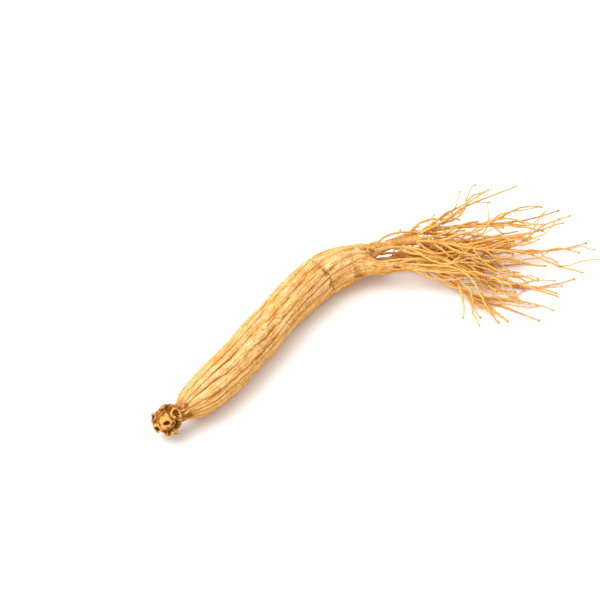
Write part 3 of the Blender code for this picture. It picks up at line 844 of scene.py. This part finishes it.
def rootlet_line(parent, start, tip, draw, count, thick, bow=0.0):
    """A rootlet that leaves its parent along it, bends over to its tip and tapers, with a slow wave to
    the side and another in height, and may bow to one side. It stays above the floor. Its line is a
    cubic between four points: its root, a third of the way along the parent's heading, a place near the
    tip, and the tip."""
    row, heading = root_of(parent, start)
    root, tip = row[:3], np.array(tip, float)
    waves, swing_at, rise_at = draw.uniform(*WAVES), draw.random(), draw.random()
    bow = draw.uniform(-bow, bow) if bow else 0.0
    reach = np.linalg.norm(tip - root)
    v = np.linspace(0, 1, count)[:, None]
    first = root + heading * reach / 3
    second = tip - (tip - root) * LAST_BEND + UP * BEND_LIFT * reach
    line = (1 - v) ** 3 * root + 3 * (1 - v) ** 2 * v * first + 3 * (1 - v) * v**2 * second + v**3 * tip
    middle = reach * np.sin(math.pi * v)
    swing = bow + WAVE * np.sin(2 * math.pi * (v * waves + swing_at))
    rise = BOB * WAVE * np.cos(2 * math.pi * (v * waves + rise_at))
    line = line + middle * (np.cross((tip - root) / reach, UP) * swing + UP * rise)
    radius = between((min(thick[0], row[3] * ROOTLET_SHARE), thick[1]), v)
    line[:, 2:] = np.maximum(line[:, 2:], radius + TABLE_GAP)
    return np.hstack([line, radius])


def side_tip(parent, start, draw, lengths, spread=SIDE_SPREAD):
    """Where a side rootlet ends: off to one side of its parent, a little up or down."""
    row, heading = root_of(parent, start)
    side = draw.choice((-1, 1)) * draw.uniform(*spread)
    way = unit(heading + np.cross(heading, UP) * side + UP * draw.uniform(*SIDE_LIFT))
    return np.clip(row[:3] + way * draw.uniform(*lengths), *ROOM)


def main_rootlets():
    """The rootlets that the plain solid has too, by the same draws: the long ones and the side ones."""
    draw = random.Random(SEED)
    legs = {name: through(route, LINE_POINTS) for name, route in LEGS.items()}
    made = [rootlet_line(legs[leg], start, tip, draw, ROOTLET_RINGS, ROOTLET_THICK)
            for leg, start, tip in LONG_ROOTLETS]
    for leg, count in SIDE_ROOTLETS.items():
        for number in range(count):
            start = between(SIDE_START, (number + draw.uniform(0.1, 0.9)) / count)
            tip = side_tip(legs[leg], start, draw, SIDE_LENGTH)
            made.append(rootlet_line(legs[leg], start, tip, draw, ROOTLET_RINGS, ROOTLET_THICK))
    return np.array(made)


def sweeping_rootlets():
    """Thin rootlets from the legs' first half, each to a tip in a fan round the way its leg runs."""
    draw = random.Random(SWEEP_SEED)
    made = []
    for leg, count in SWEEPS.items():
        host = through(LEGS[leg], LINE_POINTS)
        end = host[-1, :2] - FAN_MIDDLE
        for number in range(count):
            start = between(SWEEP_START, (number + draw.random()) / count)
            aim = math.atan2(end[1], end[0]) + draw.uniform(-FAN_TURN, FAN_TURN)
            reach = draw.uniform(*FAN_REACH)
            height = draw.uniform(0.6, max(2.0, root_of(host, start)[0][2]))
            tip = (FAN_MIDDLE[0] + reach * math.cos(aim), FAN_MIDDLE[1] + reach * math.sin(aim), height)
            tip = np.clip(tip, *ROOM)
            made.append(rootlet_line(host, start, tip, draw, ROOTLET_RINGS, SWEEP_THICK, BOW))
    return np.array(made)


def fine_rootlets(parents):
    """Hair-fine rootlets off the legs and off the main rootlets."""
    draw = random.Random(FINE_SEED)
    hosts = [(through(route, LINE_POINTS), *FINE_ON_LEG) for route in LEGS.values()]
    hosts += [(line, *FINE_ON_ROOTLET) for line in parents]
    made = []
    for host, count, starts, lengths in hosts:
        for number in range(count):
            start = between(starts, (number + draw.uniform(0.05, 0.95)) / count)
            tip = side_tip(host, start, draw, lengths, FINE_SPREAD)
            made.append(rootlet_line(host, start, tip, draw, FINE_RINGS, FINE_THICK, BOW))
    return np.array(made)


def twigs():
    """The few small growths at the fork, by their listed routes."""
    return np.array([through(route, LINE_POINTS) for route in TWIGS])


def rootlet_skin(rows, sides, sizes, seed):
    """Rootlets' rings: their taper, made a little kinked and warty by noise along them, with a foot
    that widens to the parent and, at most tips, a tiny bulb. Each rootlet has its own shade, which
    fades along it."""
    along = lengths_along(rows)
    share = along / along[:, -1:]
    left = along[:, -1:] - along
    number = np.arange(len(rows))[:, None] * 17.0
    track = np.stack(np.broadcast_arrays(along / KINK_LENGTH, number, along * 0), axis=-1)
    kinks = np.stack([noise(track + 7.0 * axis, seed + axis) for axis in range(3)], axis=-1)
    steady = np.minimum(1, np.minimum(along, left) / KINK_CLEAR)[..., None]
    rows = rows.copy()
    rows[..., :3] += KINK * kinks * steady
    warts = 1 + WART * noise(track * (2.6, 1.0, 1.0), seed + 5)
    foot = FOOT * np.exp(-along / FOOT_LENGTH)
    bulb, close = tip_form(left, sizes)
    bulb = bulb * (noise(track[:, :1] * 0.7, seed) > -0.35)
    rows[..., 3] = (rows[..., 3] * ((1 - THINNING * share) * warts + foot) + bulb) * close
    rows[..., 2] = np.maximum(rows[..., 2], rows[..., 3] + SKIN_GAP)
    angles = np.broadcast_to(around(sides), rows.shape[:2] + (sides,))
    radius = rows[..., 3:4]
    place = skin_place((along + number)[..., None], angles, radius)
    reach = radius * (1 + 0.12 * noise(place / (1.4, 0.5, 0.5), seed + 6))
    points = rows[..., None, :3] + outward_ways(rows, angles) * reach[..., None]
    shade = np.random.default_rng(seed).random(len(rows))[:, None] ** 1.5 * (1 - SHADE_FADES * share)
    patches = eased(0.2 + 0.8 * noise(place / (2.2, 0.5, 0.5), seed + 7))
    hollow = 0.5 * patches + ROOTLET_SHADES * shade[..., None]
    tip = eased(1 - left / TIP_COLOURED)[..., None] + 0 * hollow
    return points, {"place": place, "hollow": hollow, "brown": 0 * hollow, "tip": tip}


def connect(tree, socket, value):
    """Gives a node's input a value, or a link where the value is another node's output."""
    if isinstance(value, bpy.types.NodeSocket):
        tree.links.new(value, socket)
    else:
        socket.default_value = value


def add_node(tree, kind, inputs=None, **settings):
    """A new node with its settings, and its inputs by name or by number."""
    node = tree.nodes.new(kind)
    for name, value in settings.items():
        setattr(node, name, value)
    for name, value in (inputs or {}).items():
        connect(tree, node.inputs[name], value)
    return node


def maths(tree, operation, first, second):
    """What a sum makes of two values."""
    return add_node(tree, "ShaderNodeMath", {0: first, 1: second}, operation=operation).outputs[0]


def ranged(tree, value, given, wanted):
    """A value taken from one range to another, and held within it."""
    inputs = dict(zip(("Value", "From Min", "From Max", "To Min", "To Max"), (value, *given, *wanted)))
    return add_node(tree, "ShaderNodeMapRange", inputs).outputs[0]


def attribute(tree, label, output="Fac"):
    """What a piece's attribute says at each place."""
    return add_node(tree, "ShaderNodeAttribute", attribute_name=label).outputs[output]


def new_group(name, inputs, outputs):
    """An empty shader node group with named sockets by their kinds, and its input and output nodes."""
    group = bpy.data.node_groups.new(name, "ShaderNodeTree")
    for side, sockets in (("INPUT", inputs), ("OUTPUT", outputs)):
        for kind, labels in sockets.items():
            for label in labels:
                group.interface.new_socket(label, in_out=side, socket_type=f"NodeSocket{kind}")
    return group, group.nodes.new("NodeGroupInput").outputs, group.nodes.new("NodeGroupOutput").inputs


def dry_grain_group():
    """Grain drawn out along the skin: noise whose place is stretched along the root, as a height, and
    a patchy mask of slower noise."""
    group, given, out = new_group(
        "Dry Grain", {"Vector": ["Place"], "Float": ["Size", "Stretch"]}, {"Float": ["Height", "Patches"]}
    )
    squeeze = maths(group, "DIVIDE", 1.0, given["Stretch"])
    scale = add_node(group, "ShaderNodeCombineXYZ", {"X": squeeze, "Y": 1.0, "Z": 1.0}).outputs[0]
    drawn = add_node(group, "ShaderNodeVectorMath", {0: given["Place"], 1: scale}, operation="MULTIPLY")
    fine = maths(group, "DIVIDE", 1.0, given["Size"])
    slow = maths(group, "MULTIPLY", fine, 0.13)
    for label, cells, detail, roughness in (("Height", fine, 5.0, 0.62), ("Patches", slow, 3.0, 0.6)):
        grain = add_node(group, "ShaderNodeTexNoise", {"Vector": drawn.outputs[0], "Scale": cells,
                                                       "Detail": detail, "Roughness": roughness})
        group.links.new(grain.outputs["Fac"], out[label])
    return group


def specks_group():
    """Small dark pores: the middles of a few cells of scattered points."""
    group, given, out = new_group(
        "Dark Specks", {"Vector": ["Place"], "Float": ["Spacing", "Amount"]}, {"Float": ["Mask"]}
    )
    scale = maths(group, "DIVIDE", 1.0, given["Spacing"])
    cells = add_node(group, "ShaderNodeTexVoronoi", {"Vector": given["Place"], "Scale": scale}).outputs
    chosen = add_node(group, "ShaderNodeSeparateColor", {"Color": cells["Color"]}).outputs[0]
    kept = maths(group, "LESS_THAN", chosen, given["Amount"])
    dot = ranged(group, cells["Distance"], (0.22, 0.08), (0.0, 1.0))
    group.links.new(maths(group, "MULTIPLY", kept, dot), out["Mask"])
    return group


def mixed(tree, share, first, second):
    """A colour between two by a share."""
    mix = add_node(tree, "ShaderNodeMix", data_type="RGBA")
    connect(tree, mix.inputs[0], share)
    connect(tree, mix.inputs[6], first)
    connect(tree, mix.inputs[7], second)
    return mix.outputs[2]


def skin_tone_group():
    """The skin's colour: pale on ridges, deeper by patches and, as painted shade, on what faces down,
    orange brown by the hollow share, which is partly the furrows' own colour and partly painted shade,
    and bark brown where it is scarred and, on the crown, where the brown share is painted shade."""
    group, given, out = new_group(
        "Skin Tone",
        {"Float": ["Hollow", "Brown", "Patches", "Grain", "Under", "Specks"],
         "Color": ["Ridge", "Skin", "Furrow", "Bark"]},
        {"Color": ["Color"]},
    )
    patch = ranged(group, given["Patches"], (0.35, 0.65), (0.0, 0.7))
    # Painted shade: the deeper skin colour also comes where the piece faces down
    shade = maths(group, "MAXIMUM", patch, given["Under"])
    colour = mixed(group, shade, given["Ridge"], given["Skin"])
    dusty = ranged(group, given["Grain"], (0.52, 0.36), (0.0, 0.5))
    for share, over in ((dusty, "Furrow"), (given["Hollow"], "Furrow"), (given["Brown"], "Bark"),
                        (given["Specks"], "Bark")):
        colour = mixed(group, share, colour, given[over])
    group.links.new(colour, out["Color"])
    return group


def placed_group(tree, maker, name, values):
    """A shared node group in a material with its own values. It is built the first time."""
    group = bpy.data.node_groups.get(name) or maker()
    return add_node(tree, "ShaderNodeGroup", values, node_tree=group).outputs


def skin_material(name, colours):
    """Dry skin: the tone group's colour, roughness that the grain varies, and the grain as a bump."""
    size, stretch, bump, roughness = FINISHES[name]
    material = bpy.data.materials.new(name)
    material.use_nodes = True
    tree = material.node_tree
    shader = tree.nodes["Principled BSDF"]
    shader.inputs["Specular IOR Level"].default_value = GLOSS
    place = attribute(tree, "place", "Vector")
    grain = placed_group(tree, dry_grain_group, "Dry Grain",
                         {"Place": place, "Size": size, "Stretch": stretch})
    specks = placed_group(tree, specks_group, "Dark Specks",
                          {"Place": place, "Spacing": PORE_SPACING, "Amount": PORE_AMOUNT})
    values = {label: attribute(tree, label.lower()) for label in ("Hollow", "Brown", "Under")}
    values |= {"Patches": grain["Patches"], "Grain": grain["Height"], "Specks": specks["Mask"]}
    tone = placed_group(tree, skin_tone_group, "Skin Tone", values | colours)["Color"]
    connect(tree, shader.inputs["Base Color"], tone)
    rough = ranged(tree, grain["Height"], (0.3, 0.7), (roughness - 0.08, roughness + 0.1))
    connect(tree, shader.inputs["Roughness"], rough)
    relief = add_node(tree, "ShaderNodeBump", {"Height": grain["Height"], "Strength": 0.8,
                                               "Distance": bump * MM})
    connect(tree, shader.inputs["Normal"], relief.outputs[0])
    return material, tree, tone, shader


def darkened_by(tree, tone, shader, label, colour):
    """Lets an attribute of the piece bring a further colour over its tone."""
    connect(tree, shader.inputs["Base Color"], mixed(tree, attribute(tree, label), tone, colour))


def opaque(colour):
    """A colour as a socket holds it."""
    return (*colour, 1.0)


def skin_colours(tones, ridge="ridge", skin="skin"):
    """The tone group's four colours. Another of the tones may stand for the ridge's or the skin's."""
    names = {"Ridge": ridge, "Skin": skin, "Furrow": "furrow", "Bark": "bark"}
    return {label: opaque(getattr(tones, name)) for label, name in names.items()}


class GinsengSizes(PropertyGroup):
    """The sizes that a user would change."""

    wrinkle_depth: FloatProperty(name="Wrinkle depth", description="How deep the skin's long wrinkles are",
                                 default=0.0003, min=0.0, max=0.001, precision=5, unit="LENGTH")
    tip_bulb: FloatProperty(name="Tip bulb", description="How far a rootlet's tip swells",
                            default=0.00032, min=0.0, max=0.001, precision=5, unit="LENGTH")
    floor_size: FloatProperty(name="Floor size", description="The side of the floor",
                              default=4.0, min=1.0, max=20.0, unit="LENGTH")


class GinsengTones(PropertyGroup):
    """The colours of the dried root."""

    # The ridge colour is the paler tone, which high swells show as a painted highlight
    ridge: FloatVectorProperty(name="Ridge", description="The palest skin, on the ridges",
                               subtype="COLOR", default=(0.985, 0.73, 0.375), min=0.0, max=1.0)
    # The skin colour also stands for painted shade on what faces down
    skin: FloatVectorProperty(name="Skin", description="The skin's deeper patches",
                              subtype="COLOR", default=(0.83, 0.46, 0.112), min=0.0, max=1.0)
    # The furrow colour also stands for painted shade in creases, furrows and the crown's cracks
    furrow: FloatVectorProperty(name="Furrow", description="The orange brown in the furrows",
                                subtype="COLOR", default=(0.50, 0.172, 0.011), min=0.0, max=1.0)
    # The bark colour also stands for painted shade on the crown's lower side and in its dark dents
    bark: FloatVectorProperty(name="Bark", description="The crown, scars and pores",
                              subtype="COLOR", default=(0.33, 0.12, 0.012), min=0.0, max=1.0)
    crown: FloatVectorProperty(name="Crown", description="The rims of the crown's cups",
                               subtype="COLOR", default=(0.85, 0.465, 0.14), min=0.0, max=1.0)
    # The hole colour also stands for painted shade in the crown's dents, gaps and crevices
    hole_and_painted_shade: FloatVectorProperty(name="Hole", description="The floors of the crown's cups",
                              subtype="COLOR", default=(0.11, 0.026, 0.001), min=0.0, max=1.0)
    rootlet: FloatVectorProperty(name="Rootlet", description="The rootlets' skin",
                                 subtype="COLOR", default=(0.91, 0.575, 0.18), min=0.0, max=1.0)
    tip: FloatVectorProperty(name="Tip", description="The rootlets' tips",
                             subtype="COLOR", default=(0.75, 0.34, 0.08), min=0.0, max=1.0)


class GinsengStage(PropertyGroup):
    """The floor and the light."""

    floor: FloatVectorProperty(name="Floor", description="The floor's colour",
                               subtype="COLOR", default=(0.95, 0.95, 0.95), min=0.0, max=1.0)
    sky: FloatProperty(name="Sky", description="The strength of the light from all round",
                       default=0.93, min=0.0, max=5.0)
    key: FloatProperty(name="Key light", description="The power of the large light at the upper left",
                       default=14.3, min=0.0, max=500.0, unit="POWER")
    key_distance: FloatProperty(name="Key distance", description="How far off the key light stands",
                                default=1.2, min=0.2, max=10.0, unit="LENGTH")
    key_size: FloatProperty(name="Key size", description="The side of the key light",
                            default=1.1, min=0.01, max=5.0, unit="LENGTH")


class GINSENG_OT_body(Operator):
    """Grow the furrowed body"""

    bl_idname = "ginseng.body"
    bl_label = "Body"

    def execute(self, context):
        piece = skinned("root_body", *add_batch(body_skin(context.scene.ginseng_sizes)))
        colours = skin_colours(context.scene.ginseng_tones)
        piece.data.materials.append(skin_material("furrowed_skin", colours)[0])
        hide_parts(NODE)
        return {"FINISHED"}


class GINSENG_OT_crown(Operator):
    """Grow the crown of old stem scars"""

    bl_idname = "ginseng.crown"
    bl_label = "Crown"

    def execute(self, context):
        tones = context.scene.ginseng_tones
        piece = skinned("root_crown", *add_batch(crown_skin()))
        material, *parts = skin_material("crown_bark", skin_colours(tones, "crown", "crown"))
        # Painted shade: the hole colour darkens cup floors, dark dents, low gaps and crevices
        darkened_by(*parts, "hole_and_painted_shade", opaque(tones.hole_and_painted_shade))
        piece.data.materials.append(material)
        return {"FINISHED"}


class GINSENG_OT_legs(Operator):
    """Grow the legs that the body divides into"""

    bl_idname = "ginseng.legs"
    bl_label = "Legs"

    def execute(self, context):
        material = skin_material("leg_skin", skin_colours(context.scene.ginseng_tones))[0]
        for name in LEGS:
            piece = skinned(f"root_leg_{name}", *add_batch(leg_skin(name, context.scene.ginseng_sizes)))
            piece.data.materials.append(material)
        return {"FINISHED"}


class GINSENG_OT_rootlets(Operator):
    """Grow the spray of rootlets"""

    bl_idname = "ginseng.rootlets"
    bl_label = "Rootlets"

    def execute(self, context):
        sizes = context.scene.ginseng_sizes
        tones = context.scene.ginseng_tones
        material, *parts = skin_material("rootlet_skin", skin_colours(tones, "rootlet"))
        darkened_by(*parts, "tip", opaque(tones.tip))
        lines = main_rootlets()
        for name, rows, sides, seed in (
            ("root_rootlets", lines, ROOTLET_SIDES, 60),
            ("root_sweeping_rootlets", sweeping_rootlets(), ROOTLET_SIDES, 65),
            ("root_fine_rootlets", fine_rootlets(lines), FINE_SIDES, 75),
            ("root_twigs", twigs(), TWIG_SIDES, 90),
        ):
            piece = skinned(name, *rootlet_skin(rows, sides, sizes, seed))
            piece.data.materials.append(material)
        return {"FINISHED"}


class GINSENG_OT_stage(Operator):
    """Lay the floor, light it and place the camera"""

    bl_idname = "ginseng.stage"
    bl_label = "Stage"

    def execute(self, context):
        scene = context.scene
        stage = scene.ginseng_stage
        half = scene.ginseng_sizes.floor_size / 2
        mesh = bpy.data.meshes.new("pale_floor")
        corners = [(-half, -half, 0), (half, -half, 0), (half, half, 0), (-half, half, 0)]
        mesh.from_pydata(corners, [], [(0, 1, 2, 3)])
        paint = bpy.data.materials.new("floor_paint")
        paint.use_nodes = True
        shader = paint.node_tree.nodes["Principled BSDF"]
        shader.inputs["Base Color"].default_value = opaque(stage.floor)
        shader.inputs["Roughness"].default_value = 0.9
        shader.inputs["Specular IOR Level"].default_value = 0.1
        mesh.materials.append(paint)
        in_scene("pale_floor", mesh)

        world = bpy.data.worlds.new("studio")
        world.use_nodes = True
        sky = world.node_tree.nodes["Background"]
        sky.inputs["Color"].default_value = (1.0, 1.0, 1.0, 1.0)
        sky.inputs["Strength"].default_value = stage.sky
        scene.world = world

        middle = Vector(metres(VIEW_TARGET).tolist())
        lamp = bpy.data.lights.new("key_light", "AREA")
        lamp.energy = stage.key
        lamp.size = stage.key_size
        lamp.color = KEY_COLOUR
        key = in_scene("key_light", lamp)
        way = Vector(KEY_WAY).normalized()
        key.location = middle + way * stage.key_distance
        key.rotation_euler = (-way).to_track_quat("-Z", "Y").to_euler()

        lens = bpy.data.cameras.new("camera")
        lens.lens = LENS
        lens.sensor_width = SENSOR
        lens.clip_start = 0.01
        camera = in_scene("camera", lens)
        look = Vector((math.sin(VIEW_TURN) * math.cos(VIEW_ELEVATION),
                       math.cos(VIEW_TURN) * math.cos(VIEW_ELEVATION), -math.sin(VIEW_ELEVATION)))
        camera.location = middle - look * VIEW_DISTANCE * MM
        camera.rotation_euler = look.to_track_quat("-Z", "Y").to_euler()
        scene.camera = camera
        scene.view_settings.view_transform = "Standard"
        return {"FINISHED"}


class GINSENG_PT_panel(Panel):
    """The root's pieces, sizes and colours"""

    bl_label = "Dried Ginseng Root"
    bl_idname = "GINSENG_PT_panel"
    bl_space_type = "VIEW_3D"
    bl_region_type = "UI"
    bl_category = "Ginseng"

    def draw(self, context):
        for operator in OPERATORS:
            self.layout.operator(operator.bl_idname)
        for label, group in GROUPS.items():
            column = self.layout.column()
            for name in group.__annotations__:
                column.prop(getattr(context.scene, label), name)


OPERATORS = (GINSENG_OT_body, GINSENG_OT_crown, GINSENG_OT_legs, GINSENG_OT_rootlets, GINSENG_OT_stage)
GROUPS = {"ginseng_sizes": GinsengSizes, "ginseng_tones": GinsengTones, "ginseng_stage": GinsengStage}


def register():
    """Makes the add-on's classes known, and gives the scene its sizes, tones and stage."""
    for kind in (*GROUPS.values(), *OPERATORS, GINSENG_PT_panel):
        bpy.utils.register_class(kind)
    for name, kind in GROUPS.items():
        setattr(bpy.types.Scene, name, PointerProperty(type=kind))


def unregister():
    """Takes back what register gave."""
    for name in GROUPS:
        delattr(bpy.types.Scene, name)
    for kind in (GINSENG_PT_panel, *reversed(OPERATORS), *reversed(GROUPS.values())):
        bpy.utils.unregister_class(kind)


def main():
    """Grows the whole root and sets its stage."""
    register()
    bpy.ops.ginseng.body()
    bpy.ops.ginseng.crown()
    bpy.ops.ginseng.legs()
    bpy.ops.ginseng.rootlets()
    bpy.ops.ginseng.stage()


if __name__ == "__main__":
    main()
